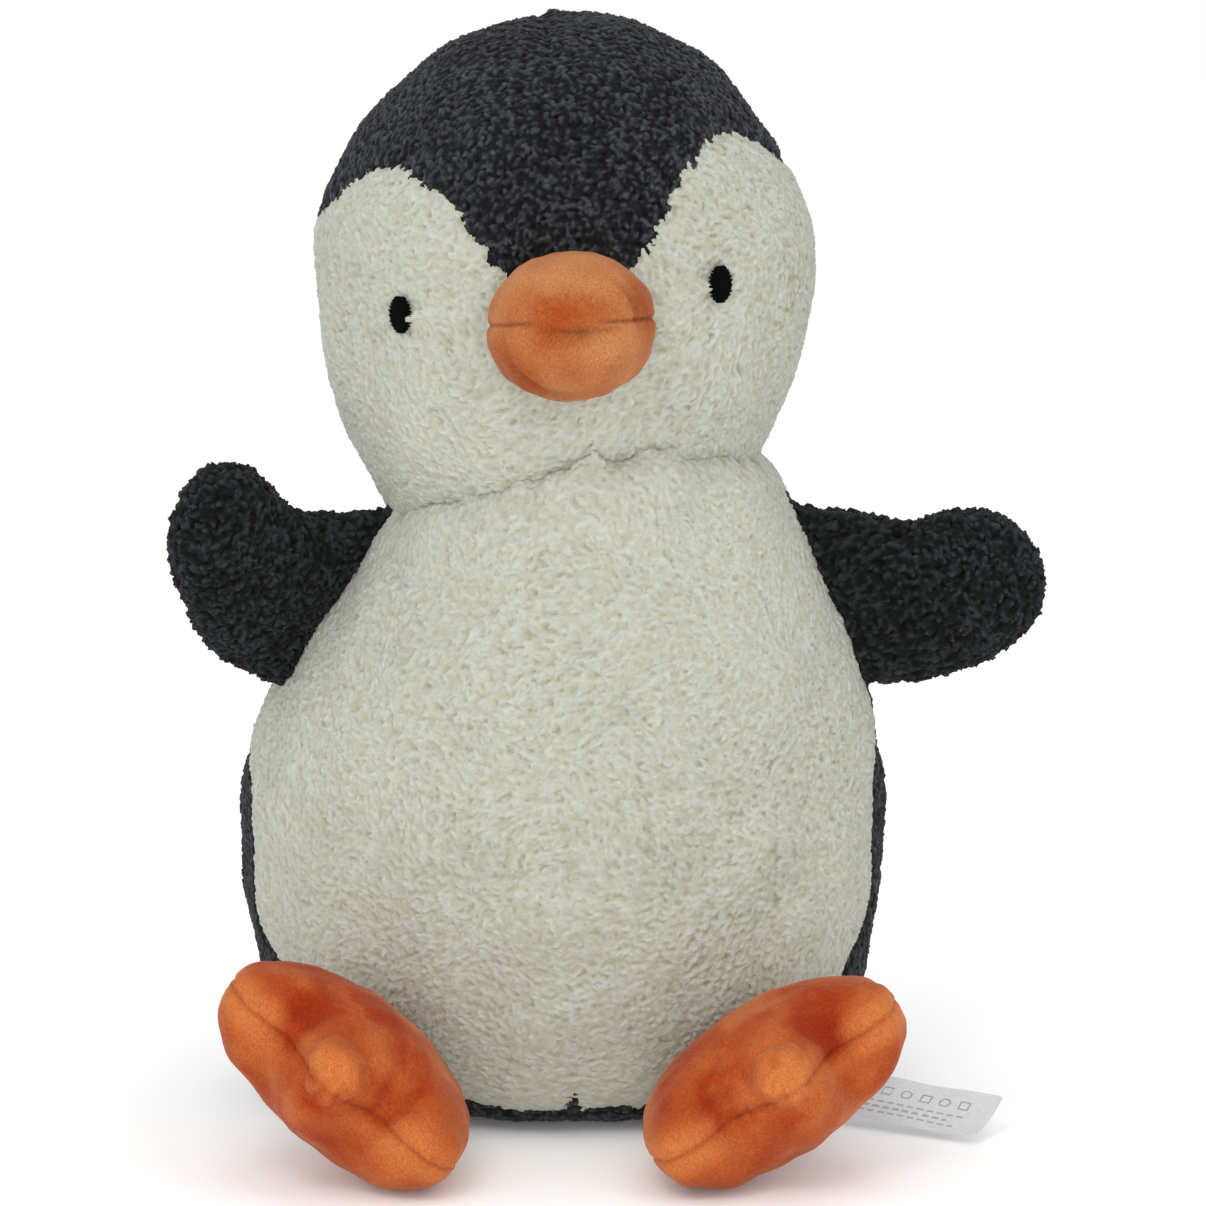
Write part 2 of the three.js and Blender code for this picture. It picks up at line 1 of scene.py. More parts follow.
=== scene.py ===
import json
import math
import bmesh
import bpy
import numpy as np
from mathutils import Vector
from mathutils.bvhtree import BVHTree
from mathutils.kdtree import KDTree
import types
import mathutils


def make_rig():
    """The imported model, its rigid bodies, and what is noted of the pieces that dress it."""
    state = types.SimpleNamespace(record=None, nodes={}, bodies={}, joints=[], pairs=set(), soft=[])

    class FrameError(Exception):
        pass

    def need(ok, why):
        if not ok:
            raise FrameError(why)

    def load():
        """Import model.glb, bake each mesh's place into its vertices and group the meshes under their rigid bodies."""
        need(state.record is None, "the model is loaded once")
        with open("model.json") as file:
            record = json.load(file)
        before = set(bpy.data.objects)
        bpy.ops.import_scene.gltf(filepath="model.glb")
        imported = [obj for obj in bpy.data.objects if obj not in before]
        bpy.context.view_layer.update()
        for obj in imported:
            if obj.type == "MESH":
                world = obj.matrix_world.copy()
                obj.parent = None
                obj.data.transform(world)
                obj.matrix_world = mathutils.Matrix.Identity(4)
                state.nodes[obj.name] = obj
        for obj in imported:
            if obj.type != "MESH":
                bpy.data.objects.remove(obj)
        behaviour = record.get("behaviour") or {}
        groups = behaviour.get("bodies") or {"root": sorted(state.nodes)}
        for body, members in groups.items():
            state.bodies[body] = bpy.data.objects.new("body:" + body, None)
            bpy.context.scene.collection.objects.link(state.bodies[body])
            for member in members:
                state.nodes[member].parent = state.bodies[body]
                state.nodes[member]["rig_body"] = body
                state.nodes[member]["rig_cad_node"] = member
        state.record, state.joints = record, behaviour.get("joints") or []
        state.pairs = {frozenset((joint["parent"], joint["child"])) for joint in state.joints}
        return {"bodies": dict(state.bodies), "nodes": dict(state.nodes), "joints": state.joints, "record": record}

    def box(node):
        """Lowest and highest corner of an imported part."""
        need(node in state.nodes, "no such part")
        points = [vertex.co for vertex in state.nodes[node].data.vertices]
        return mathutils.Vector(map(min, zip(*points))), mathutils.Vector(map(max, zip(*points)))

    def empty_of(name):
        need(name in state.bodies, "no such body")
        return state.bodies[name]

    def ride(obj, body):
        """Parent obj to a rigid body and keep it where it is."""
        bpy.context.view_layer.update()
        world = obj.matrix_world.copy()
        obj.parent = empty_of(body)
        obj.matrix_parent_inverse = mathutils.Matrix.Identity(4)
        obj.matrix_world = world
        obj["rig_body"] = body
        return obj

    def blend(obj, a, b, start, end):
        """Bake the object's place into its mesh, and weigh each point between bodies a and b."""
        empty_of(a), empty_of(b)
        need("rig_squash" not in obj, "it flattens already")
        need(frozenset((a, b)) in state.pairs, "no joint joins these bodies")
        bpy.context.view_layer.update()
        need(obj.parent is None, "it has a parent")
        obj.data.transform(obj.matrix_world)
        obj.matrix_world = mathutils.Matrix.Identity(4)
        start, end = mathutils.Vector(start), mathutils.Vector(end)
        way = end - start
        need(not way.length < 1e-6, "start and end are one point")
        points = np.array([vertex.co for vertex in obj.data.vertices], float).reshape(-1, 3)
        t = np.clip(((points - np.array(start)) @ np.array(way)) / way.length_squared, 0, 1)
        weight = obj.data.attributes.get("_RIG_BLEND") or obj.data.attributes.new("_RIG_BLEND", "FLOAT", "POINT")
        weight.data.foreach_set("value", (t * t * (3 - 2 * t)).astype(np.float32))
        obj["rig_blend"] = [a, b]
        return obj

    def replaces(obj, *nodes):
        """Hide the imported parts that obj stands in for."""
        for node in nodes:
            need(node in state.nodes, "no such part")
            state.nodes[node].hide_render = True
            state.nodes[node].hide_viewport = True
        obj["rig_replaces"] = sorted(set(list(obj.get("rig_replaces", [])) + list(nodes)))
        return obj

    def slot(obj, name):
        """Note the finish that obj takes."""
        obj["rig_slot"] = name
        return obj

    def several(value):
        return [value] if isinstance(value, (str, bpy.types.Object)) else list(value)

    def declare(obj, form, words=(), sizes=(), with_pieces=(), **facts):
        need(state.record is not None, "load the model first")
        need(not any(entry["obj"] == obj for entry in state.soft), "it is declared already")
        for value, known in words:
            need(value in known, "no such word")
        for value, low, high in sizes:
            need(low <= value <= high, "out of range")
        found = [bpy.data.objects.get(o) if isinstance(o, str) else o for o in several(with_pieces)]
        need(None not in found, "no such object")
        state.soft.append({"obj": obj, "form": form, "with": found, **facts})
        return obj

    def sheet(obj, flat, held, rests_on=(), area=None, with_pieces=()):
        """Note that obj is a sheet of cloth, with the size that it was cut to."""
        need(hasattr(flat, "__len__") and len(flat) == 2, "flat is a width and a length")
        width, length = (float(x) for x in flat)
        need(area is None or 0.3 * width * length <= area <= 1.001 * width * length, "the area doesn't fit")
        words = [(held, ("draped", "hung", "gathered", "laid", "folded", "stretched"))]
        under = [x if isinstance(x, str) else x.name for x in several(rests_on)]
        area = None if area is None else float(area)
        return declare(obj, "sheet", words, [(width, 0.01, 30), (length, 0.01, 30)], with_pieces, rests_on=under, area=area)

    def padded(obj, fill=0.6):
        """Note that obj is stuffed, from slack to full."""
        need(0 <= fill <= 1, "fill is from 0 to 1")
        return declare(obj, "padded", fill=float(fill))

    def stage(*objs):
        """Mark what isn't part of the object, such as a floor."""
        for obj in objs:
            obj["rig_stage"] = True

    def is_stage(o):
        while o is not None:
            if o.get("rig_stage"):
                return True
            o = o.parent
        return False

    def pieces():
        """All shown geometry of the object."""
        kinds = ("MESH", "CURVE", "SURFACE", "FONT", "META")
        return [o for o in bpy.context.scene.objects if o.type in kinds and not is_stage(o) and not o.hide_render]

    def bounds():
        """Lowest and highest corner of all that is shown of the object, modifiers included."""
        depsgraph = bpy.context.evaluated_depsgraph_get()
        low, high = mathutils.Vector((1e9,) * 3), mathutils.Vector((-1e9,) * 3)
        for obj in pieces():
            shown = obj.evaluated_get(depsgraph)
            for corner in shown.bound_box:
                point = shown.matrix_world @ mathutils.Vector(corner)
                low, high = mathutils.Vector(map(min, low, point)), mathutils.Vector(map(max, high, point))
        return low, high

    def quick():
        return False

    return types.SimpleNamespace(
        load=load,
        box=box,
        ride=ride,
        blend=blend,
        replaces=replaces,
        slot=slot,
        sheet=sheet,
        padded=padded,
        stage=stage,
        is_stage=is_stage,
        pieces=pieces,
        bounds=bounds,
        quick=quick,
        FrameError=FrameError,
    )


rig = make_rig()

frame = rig.load()
cad_bounds = [list(corner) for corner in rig.bounds()]
scene = bpy.context.scene
MM = 0.001
LOWEST = 0.2 * MM  # no cover reaches down to the floor itself
bodies = frame["record"]["behaviour"]["bodies"]
joint_at = {joint["name"]: joint for joint in frame["joints"]}


# ---------- camera ----------
CAMERA_TARGET = Vector((0.0116, 0, 0.152))
CAMERA_DISTANCE = 1.5
CAMERA_ELEVATION = math.radians(9)
camera = bpy.data.objects.new("camera", bpy.data.cameras.new("camera"))
scene.collection.objects.link(camera)
toward_camera = Vector((0, -math.cos(CAMERA_ELEVATION), math.sin(CAMERA_ELEVATION)))
camera.location = CAMERA_TARGET + CAMERA_DISTANCE * toward_camera
camera.rotation_euler = (CAMERA_TARGET - camera.location).to_track_quat("-Z", "Y").to_euler()
camera.data.sensor_width = 36
camera.data.lens = 146.3
scene.camera = camera


# ---------- mesh tools ----------
def new_object(name, mesh):
    made = bpy.data.objects.new(name, mesh)
    scene.collection.objects.link(made)
    return made


def made_from(name, points, faces):
    mesh = bpy.data.meshes.new(name)
    mesh.from_pydata(np.asarray(points).tolist(), [], [list(map(int, face)) for face in faces])
    mesh.validate()
    return new_object(name, mesh)


def points_of(mesh):
    flat = np.empty(len(mesh.vertices) * 3, np.float32)
    mesh.vertices.foreach_get("co", flat)
    return flat.reshape(-1, 3).astype(float)


def set_points(mesh, points):
    mesh.vertices.foreach_set("co", np.asarray(points, np.float32).ravel())
    mesh.update()


def edges_of(mesh):
    flat = np.empty(len(mesh.edges) * 2, np.int32)
    mesh.edges.foreach_get("vertices", flat)
    return flat.reshape(-1, 2)


def normals_of(mesh):
    flat = np.empty(len(mesh.vertices) * 3, np.float32)
    mesh.vertex_normals.foreach_get("vector", flat)
    return flat.reshape(-1, 3).astype(float)


def quads_of(mesh):
    flat = np.empty(len(mesh.loops), np.int32)
    mesh.loops.foreach_get("vertex_index", flat)
    return flat.reshape(-1, 4)


def add_values(mesh, name, values):
    layer = mesh.attributes.new(name, "FLOAT", "POINT")
    layer.data.foreach_set("value", np.asarray(values, np.float32))


def applied(made, kind, **settings):
    """The object's mesh with one modifier applied."""
    modifier = made.modifiers.new("step", kind)
    for key, value in settings.items():
        setattr(modifier, key, value)
    graph = bpy.context.evaluated_depsgraph_get()
    mesh = bpy.data.meshes.new_from_object(made.evaluated_get(graph), depsgraph=graph)
    made.modifiers.remove(modifier)
    made.data = mesh
    return made


def neighbour_mean(values, edges):
    ends = np.concatenate([edges, edges[:, ::-1]])
    count = np.bincount(ends[:, 0], minlength=len(values))
    total = [np.bincount(ends[:, 0], column[ends[:, 1]], len(values)) for column in values.T]
    return np.stack(total, 1) / np.maximum(count, 1)[:, None]


SMOOTHING_SHARES = (0.6, -0.615)


def smoothed(made, rounds, free=None):
    """Softens the mesh without shrinking it: each round moves in and then a little more out."""
    points, edges = points_of(made.data), edges_of(made.data)
    for _ in range(rounds):
        for share in SMOOTHING_SHARES:
            step = share * (neighbour_mean(points, edges) - points)
            points = points + (step if free is None else step * free(points)[:, None])
    set_points(made.data, points)


def form_round(name, nodes, voxel, rounds, free=None):
    """One closed and evenly meshed form round several CAD nodes."""
    joined = bmesh.new()
    for node in nodes:
        joined.from_mesh(frame["nodes"][node].data)
    mesh = bpy.data.meshes.new(name)
    joined.to_mesh(mesh)
    joined.free()
    made = applied(new_object(name, mesh), "REMESH", mode="VOXEL", voxel_size=voxel, adaptivity=0)
    smoothed(made, rounds, free)
    return made


def tree_of(nodes):
    """A search tree over several CAD nodes, with the node of each of its polygons."""
    points, polygons, owner = [], [], []
    for index, node in enumerate(nodes):
        mesh = frame["nodes"][node].data
        start = len(points)
        points += [v.co for v in mesh.vertices]
        polygons += [[start + i for i in p.vertices] for p in mesh.polygons]
        owner += [index] * len(mesh.polygons)
    return BVHTree.FromPolygons(points, polygons), np.array(owner)


def nearest_node(points, nodes):
    tree, owner = tree_of(nodes)
    return owner[[tree.find_nearest(p)[2] for p in points.tolist()]]


def distances(points, marks):
    tree = KDTree(len(marks))
    for index, mark in enumerate(marks.tolist()):
        tree.insert(mark, index)
    tree.balance()
    return np.array([tree.find(p)[2] for p in points.tolist()])


def seam_distance(points, edges, panel):
    """How far each point is from the nearest seam between two panels."""
    crossing = edges[panel[edges[:, 0]] != panel[edges[:, 1]]]
    middles = (points[crossing[:, 0]] + points[crossing[:, 1]]) / 2
    return distances(points, middles)


def waves(points, length, seed, count=10):
    """Smooth random values from -1 to 1 that change over about a length, the same each run."""
    maker = np.random.default_rng(seed)
    total = np.zeros(len(points))
    for _ in range(count):
        way = maker.normal(size=3)
        way *= 2 * math.pi / length / np.linalg.norm(way) * maker.uniform(0.6, 1.5)
        total += np.sin(points @ way + maker.uniform(0, 2 * math.pi))
    return total / math.sqrt(count / 2) / 1.6


def bell(distance, width):
    return np.exp(-((distance / width) ** 2))


# ---------- stuffing by cloth simulation ----------
CLOTH_FRAMES = 20
CLOTH_SETTINGS = {
    "quality": 5, "mass": 0.3, "tension_stiffness": 20, "compression_stiffness": 20,
    "bending_stiffness": 0.3, "use_pressure": True, "uniform_pressure_force": 4,
}


def stuff(items):
    """Fills sewn forms under pressure. Each item: object, how firmly each point is held, cap."""
    before = {}
    for made, held, _ in items:
        before[made.name] = points_of(made.data)
        group = made.vertex_groups.new(name="held")
        for index, weight in enumerate(held):
            if weight > 0.01:
                group.add([index], float(weight), "REPLACE")
        cloth = made.modifiers.new("cloth", "CLOTH")
        for key, value in CLOTH_SETTINGS.items():
            setattr(cloth.settings, key, value)
        cloth.settings.effector_weights.gravity = 0
        cloth.settings.vertex_group_mass = "held"
        cloth.collision_settings.use_collision = False
        cloth.point_cache.frame_start = 1
        cloth.point_cache.frame_end = CLOTH_FRAMES
    for step in range(1, CLOTH_FRAMES + 1):
        scene.frame_set(step)
    graph = bpy.context.evaluated_depsgraph_get()
    for made, _, cap in items:
        mesh = bpy.data.meshes.new_from_object(made.evaluated_get(graph), depsgraph=graph)
        old = before[made.name]
        moved = points_of(mesh) - old
        length = np.linalg.norm(moved, axis=1, keepdims=True)
        limit = cap * np.tanh(length / cap)
        made.modifiers.clear()
        set_points(made.data, old + moved * limit / np.maximum(length, 1e-9))
    scene.frame_set(1)


# ---------- materials ----------
def material(name):
    made = bpy.data.materials.new(name)
    made.use_nodes = True
    nodes, links = made.node_tree.nodes, made.node_tree.links
    return made, nodes, links, nodes["Principled BSDF"]


def place(nodes):
    return nodes.new("ShaderNodeTexCoord").outputs["Object"]


def noise(nodes, links, where, scale, detail=2.0, stretch=None):
    if stretch:
        mapping = nodes.new("ShaderNodeMapping")
        mapping.inputs["Scale"].default_value = stretch
        links.new(where, mapping.inputs["Vector"])
        where = mapping.outputs["Vector"]
    made = nodes.new("ShaderNodeTexNoise")
    made.inputs["Scale"].default_value = scale
    made.inputs["Detail"].default_value = detail
    links.new(where, made.inputs["Vector"])
    return made.outputs["Fac"]


def ramp(nodes, links, value, stops):
    made = nodes.new("ShaderNodeValToRGB")
    elements = made.color_ramp.elements
    while len(elements) < len(stops):
        elements.new(0.5)
    for element, (at, colour) in zip(elements, stops):
        element.position = at
        element.color = (*colour, 1)
    links.new(value, made.inputs["Fac"])
    return made.outputs["Color"]


def attribute(nodes, name):
    made = nodes.new("ShaderNodeAttribute")
    made.attribute_name = name
    return made.outputs["Fac"]


def blended(nodes, links, kind, amount, first, second):
    made = nodes.new("ShaderNodeMix")
    made.data_type = "RGBA"
    made.blend_type = kind
    for socket, value in (("Factor_Float", amount), ("A_Color", first), ("B_Color", second)):
        slot = next(s for s in made.inputs if s.identifier == socket)
        if isinstance(value, bpy.types.NodeSocket):
            links.new(value, slot)
        else:
            slot.default_value = value
    return next(s for s in made.outputs if s.identifier == "Result_Color")


def bumped(nodes, links, shader, heights):
    """Chains bump nodes: each height is (value, distance, strength)."""
    last = None
    for value, distance, strength in heights:
        bump = nodes.new("ShaderNodeBump")
        bump.inputs["Distance"].default_value = distance
        bump.inputs["Strength"].default_value = strength
        links.new(value, bump.inputs["Height"])
        if last:
            links.new(last, bump.inputs["Normal"])
        last = bump.outputs["Normal"]
    links.new(last, shader.inputs["Normal"])


def fleece_material(name, stops, vary, sheen, sheen_tint):
    """Curly pile: painted shade between the curls and a painted highlight on their tips, each curl a little different.
    """
    made, nodes, links, shader = material(name)
    where = place(nodes)
    # The pile value is the curl's height here: this ramp paints shade low between the curls and a highlight on their
    # tips.
    colour = ramp(nodes, links, attribute(nodes, "pile"), stops)
    shade = ramp(nodes, links, attribute(nodes, "shade"), [(0, (1 - vary,) * 3), (1, (1,) * 3)])
    colour = blended(nodes, links, "MULTIPLY", 1.0, colour, shade)
    patches = noise(nodes, links, where, 45, 3)
    patches = ramp(nodes, links, patches, [(0.3, (1 - 0.7 * vary,) * 3), (0.7, (1,) * 3)])
    colour = blended(nodes, links, "MULTIPLY", 1.0, colour, patches)
    fibres = noise(nodes, links, where, 1900, 2)
    fibre_shade = ramp(nodes, links, fibres, [(0.3, (1 - vary,) * 3), (0.7, (1,) * 3)])
    colour = blended(nodes, links, "MULTIPLY", 1.0, colour, fibre_shade)
    links.new(colour, shader.inputs["Base Color"])
    shader.inputs["Roughness"].default_value = 0.92
    shader.inputs["Specular IOR Level"].default_value = 0.12
    shader.inputs["Sheen Weight"].default_value = sheen
    shader.inputs["Sheen Roughness"].default_value = 0.45
    shader.inputs["Sheen Tint"].default_value = (*sheen_tint, 1)
    bumped(nodes, links, shader, [(fibres, 0.0004, 0.7)])
    return made


def plush_material(name, deep, middle, light):
    """Short pile in random patches and streaks: deep where shade is painted and over the middle of the beak's front,
    pale where the pile stands up and where a highlight or sheen is painted, and darker still with painted shade in
    creases and seams.
    """
    made, nodes, links, shader = material(name)
    where = place(nodes)
    patches = noise(nodes, links, where, 60, 4)
    base = ramp(nodes, links, patches, [(0.2, deep), (0.5, middle), (0.85, light)])
    streaks = noise(nodes, links, where, 900, 3, (1, 0.8, 0.6))
    streak_shade = ramp(nodes, links, streaks, [(0.3, (0.86,) * 3), (0.7, (1.14,) * 3)])
    base = blended(nodes, links, "MULTIPLY", 1.0, base, streak_shade)
    # Toward the deep colour: painted shade in the toes' valleys, under the toe nub and round the beak's root, and the
    # darker middle of the beak's front.
    base = blended(nodes, links, "MIX", attribute(nodes, "pressed"), base, (*deep, 1))
    # Toward the light colour: paler pile, a painted highlight on the toe nub and painted sheen at the outer toes'
    # rims.
    colour_with_painted_light = blended(nodes, links, "MIX", attribute(nodes, "nap"), base, (*light, 1))
    # Painted shade in creases and seams.
    creased = attribute(nodes, "crease")
    creased = ramp(nodes, links, creased, [(0, (1,) * 3), (1, (0.4, 0.22, 0.16))])
    colour_with_painted_light = blended(nodes, links, "MULTIPLY", 1.0, colour_with_painted_light, creased)
    fine = noise(nodes, links, where, 2300, 1, (1, 1, 0.55))
    grain = ramp(nodes, links, fine, [(0.3, (0.8, 0.74, 0.7)), (0.7, (1.16, 1.2, 1.24))])
    colour_with_painted_light = blended(nodes, links, "MULTIPLY", 1.0, colour_with_painted_light, grain)
    links.new(colour_with_painted_light, shader.inputs["Base Color"])
    shader.inputs["Roughness"].default_value = 0.85
    shader.inputs["Specular IOR Level"].default_value = 0.15
    shader.inputs["Sheen Weight"].default_value = 0.22
    shader.inputs["Sheen Roughness"].default_value = 0.4
    shader.inputs["Sheen Tint"].default_value = (1, 0.66, 0.44, 1)
    bumped(nodes, links, shader, [(streaks, 0.0006, 0.6), (fine, 0.0003, 0.5)])
    return made


def plain_material(name, dark, light, scale, rough, sheen=0.0, depth=0.0002, shine=0.5):
    made, nodes, links, shader = material(name)
    where = place(nodes)
    grain = noise(nodes, links, where, scale, 3)
    links.new(ramp(nodes, links, grain, [(0.3, dark), (0.7, light)]), shader.inputs["Base Color"])
    shader.inputs["Roughness"].default_value = rough
    shader.inputs["Sheen Weight"].default_value = sheen
    shader.inputs["Specular IOR Level"].default_value = shine
    bumped(nodes, links, shader, [(grain, depth, 0.6)])
    return made


# Each fleece ramp runs from painted shade between the curls, yellowish on the white, to a painted highlight on the
# tips.
WHITE = fleece_material(
    "white_fleece",
    [(0.0, (0.38, 0.365, 0.245)), (0.4, (0.495, 0.492, 0.405)),
     (0.75, (0.56, 0.585, 0.55)), (1, (0.60, 0.63, 0.605))],
    0.1, 0.1, (1, 0.98, 0.94),
)
DARK = fleece_material(
    "dark_fleece",
    [(0.0, (0.0012, 0.0014, 0.0016)), (0.4, (0.0138, 0.0152, 0.0175)), (1, (0.155, 0.164, 0.183))],
    0.35, 0.14, (0.6, 0.63, 0.68),
)
DARK_FLIPPER = fleece_material(
    "dark_fleece_flipper",
    [(0.0, (0.001, 0.0012, 0.0014)), (0.4, (0.0115, 0.0136, 0.0148)), (1, (0.082, 0.092, 0.1))],
    0.35, 0.1, (0.6, 0.63, 0.68),
)
ORANGE = plush_material(
    "orange_plush", (0.235, 0.017, 0.0008), (0.315, 0.033, 0.0028), (0.51, 0.15, 0.038))
PEACH = plush_material(
    "orange_plush_beak", (0.31, 0.045, 0.004), (0.325, 0.084, 0.019), (0.45, 0.18, 0.066))
THREAD = plain_material(
    "black_thread", (0.0006, 0.0006, 0.0006), (0.002, 0.002, 0.0022), 1800, 1, shine=0.08)
FILL = plain_material("fibre_fill", (0.62, 0.62, 0.6), (0.85, 0.85, 0.83), 160, 1, 0.4, 0.002)
POUCH = plain_material("pellet_pouch", (0.5, 0.5, 0.48), (0.7, 0.7, 0.68), 900, 0.9)


# ---------- fleece ----------
def combed(points, normals, seed):
    """A direction in the surface at each point: mostly sideways, like pile brushed round."""
    way = np.cross(normals, (0, 0, 1.0)) + (0, 0, 0.25)
    way += 0.75 * np.stack([waves(points, 50 * MM, seed + k) for k in range(3)], 1)
    way -= normals * np.sum(way * normals, 1, keepdims=True)
    return way / np.maximum(np.linalg.norm(way, axis=1, keepdims=True), 1e-6)


# Half length and half width of a curl, height, spread of its direction, bend, and how far it leans.
LONG_CURLS = ((1.7, 3.3), (0.8, 1.25), 2.0, 0.5, 130, 0.35)
SHORT_CURLS = ((1.4, 2.4), (0.9, 1.3), 2.3, 1.2, 160, 0.3)
KNOBBLY_CURLS = ((1.2, 2.1), (0.95, 1.4), 4.0, 1.5, 160, 0.35)


def grow_fleece(mesh, dips, kinds, panel, seed, spacing=1.6 * MM, calm=None):
    """Raises curls from the mesh and stores the pile's values.

    Returns, for each point, the root of the curl that covers it, or the point itself.
    """
    points, normals = points_of(mesh), normals_of(mesh)
    maker = np.random.default_rng(seed)
    cell = np.floor(points / spacing).astype(np.int64)
    key = (cell[:, 0] * 73856093) ^ (cell[:, 1] * 19349663) ^ (cell[:, 2] * 83492791)
    order = maker.permutation(len(points))
    _, first = np.unique(key[order], return_index=True)
    roots = order[first]
    at, up = points[roots], normals[roots]
    count = len(roots)
    long_low, long_high, wide_low, wide_high, tall, spread, bends, leans = np.array(
        [(*k[0], *k[1], *k[2:]) for k in kinds])[panel[roots]].T
    turn = (maker.normal(0, 1, count) * spread)[:, None]
    flow = combed(at, up, seed)
    flow = flow * np.cos(turn) + np.cross(up, flow) * np.sin(turn)
    side = np.cross(up, flow)
    half_long = (long_low + (long_high - long_low) * maker.uniform(0, 1, count)) * MM
    half_wide = (wide_low + (wide_high - wide_low) * maker.uniform(0, 1, count)) * MM
    high = maker.uniform(0.45, 1.0, count) * tall * MM
    if calm:
        high *= calm(at)
    bend = maker.normal(0, 1, count) * bends
    tree = KDTree(len(points))
    for index, point in enumerate(points.tolist()):
        tree.insert(point, index)
    tree.balance()
    curl, vertex = [], []
    for index, (root, reach) in enumerate(zip(at.tolist(), half_long.tolist())):
        found = [hit[1] for hit in tree.find_range(root, reach)]
        vertex += found
        curl += [index] * len(found)
    curl, vertex = np.array(curl), np.array(vertex)
    offset = points[vertex] - at[curl]
    along = np.sum(offset * flow[curl], 1)
    across = np.sum(offset * side[curl], 1) - bend[curl] * along**2
    reach = along / half_long[curl]
    round_off = 1 - reach**2 - (across / (half_wide[curl] * (1 - 0.3 * reach))) ** 2
    lift = high[curl] * np.maximum(round_off, 0) ** 0.65 * (0.6 + 0.4 * reach)
    rank = np.argsort(lift, kind="stable")
    owner = np.zeros(len(points), int)
    height = np.zeros(len(points))
    owner[vertex[rank]] = curl[rank]
    height[vertex[rank]] = lift[rank]
    height = 0.8 * height + 0.2 * neighbour_mean(height[:, None], edges_of(mesh))[:, 0]
    lean = flow[owner] * (leans[owner] * height)[:, None]
    fibres = maker.normal(0, 0.1 * MM, len(points))
    moved = points + normals * (height + fibres - dips)[:, None] + lean
    moved[:, 2] = np.maximum(moved[:, 2], LOWEST)
    set_points(mesh, moved)
    full = tall[owner] * MM * (calm(points) if calm else 1)
    # The pile value feeds the painted shade between the curls and the painted highlight on their tips.
    add_values(mesh, "pile", np.clip(height / full * 1.1, 0, 1))
    add_values(mesh, "shade", maker.uniform(0, 1, count)[owner])
    covered = np.zeros(len(points), bool)
    covered[vertex] = True
    return np.where(covered, roots[owner], np.arange(len(points)))


def settled_panels(panel, faces, count):
    """Each face's panel, with no lone faces left inside another panel."""
    votes = np.zeros((len(faces), count), int)
    for corner in range(4):
        votes[np.arange(len(faces)), panel[faces[:, corner]]] += 1
    return votes.argmax(1)


def split(made, face_panel, pieces, look, bend=None):
    """Cuts one mesh into its sewn panels. pieces: (name, body, slot, nodes it stands for)."""
    whole = made.data
    out = []
    for index, (name, body, slot, nodes) in enumerate(pieces):
        part = bmesh.new()
        part.from_mesh(whole)
        part.faces.ensure_lookup_table()
        gone = [part.faces[i] for i in np.flatnonzero(face_panel != index).tolist()]
        bmesh.ops.delete(part, geom=gone, context="FACES")
        mesh = bpy.data.meshes.new(name)
        part.to_mesh(mesh)
        part.free()
        piece = new_object(name, mesh)
        mesh.materials.clear()
        mesh.materials.append(look[index])
        mesh.polygons.foreach_set("use_smooth", [True] * len(mesh.polygons))
        if bend:
            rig.blend(piece, "torso", body, *bend)
        else:
            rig.ride(piece, body)
        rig.slot(piece, slot)
        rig.replaces(piece, *nodes)
        out.append(piece)
    bpy.data.objects.remove(made)
    return out


TORSO = ["belly_panel", "back_left", "back_right", "seat_panel"]
HEAD = ["face_left", "face_right", "crown_left", "crown_right", "head_back_left", "head_back_right"]
NECK = np.array(joint_at["head_tilt"]["pos_m"])


def clear_of_rim(points):
    """How far smoothing may go: little on the torso's rim, so that it stays close to the head."""
    return np.clip((np.linalg.norm(points - NECK, axis=1) - 68 * MM) / (10 * MM), 0.25, 1)


FLEECE_GRID, BEAK_GRID, FOOT_GRID = 4.6 * MM, 3 * MM, 3.4 * MM
TORSO_SWELL, SWELL = 4 * MM, 3 * MM
BEAK = ["beak_upper", "beak_lower"]
torso_parts = TORSO + ["torso_stuffing", "pellet_bag"]
# Each form: its mesh, its panels and how far the stuffing may swell it.
forms = {
    "torso": (
        form_round("torso_form", torso_parts, FLEECE_GRID, 70, clear_of_rim), TORSO, TORSO_SWELL),
    "head": (form_round("head_form", HEAD + ["head_stuffing"], FLEECE_GRID, 60), HEAD, SWELL),
    "beak": (form_round("beak_form", BEAK + ["beak_stuffing"], BEAK_GRID, 8), BEAK, SWELL),
}
for side in ("left", "right"):
    limbs = [("flipper", ("front", "back"), FLEECE_GRID), ("foot", ("top", "sole"), FOOT_GRID)]
    for limb, faces, grid in limbs:
        panels = [f"{limb}_{side}_{face}" for face in faces]
        parts = panels + [f"{limb}_{side}_stuffing"]
        forms[f"{limb}_{side}"] = (form_round(f"{limb}_form_{side}", parts, grid, 2), panels, SWELL)

to_stuff = []
for key, (form, panels, cap) in forms.items():
    points, edges = points_of(form.data), edges_of(form.data)
    near = seam_distance(points, edges, nearest_node(points, panels))
    held = bell(near, 5 * MM if key in ("torso", "head") else 3.5 * MM)
    if key in ("torso", "head"):
        from_neck = np.linalg.norm(points - NECK, axis=1)
        held = np.maximum(held, (from_neck < 70 * MM) & (points[:, 2] < NECK[2]))
    to_stuff.append((form, held, cap))
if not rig.quick():
    stuff(to_stuff)


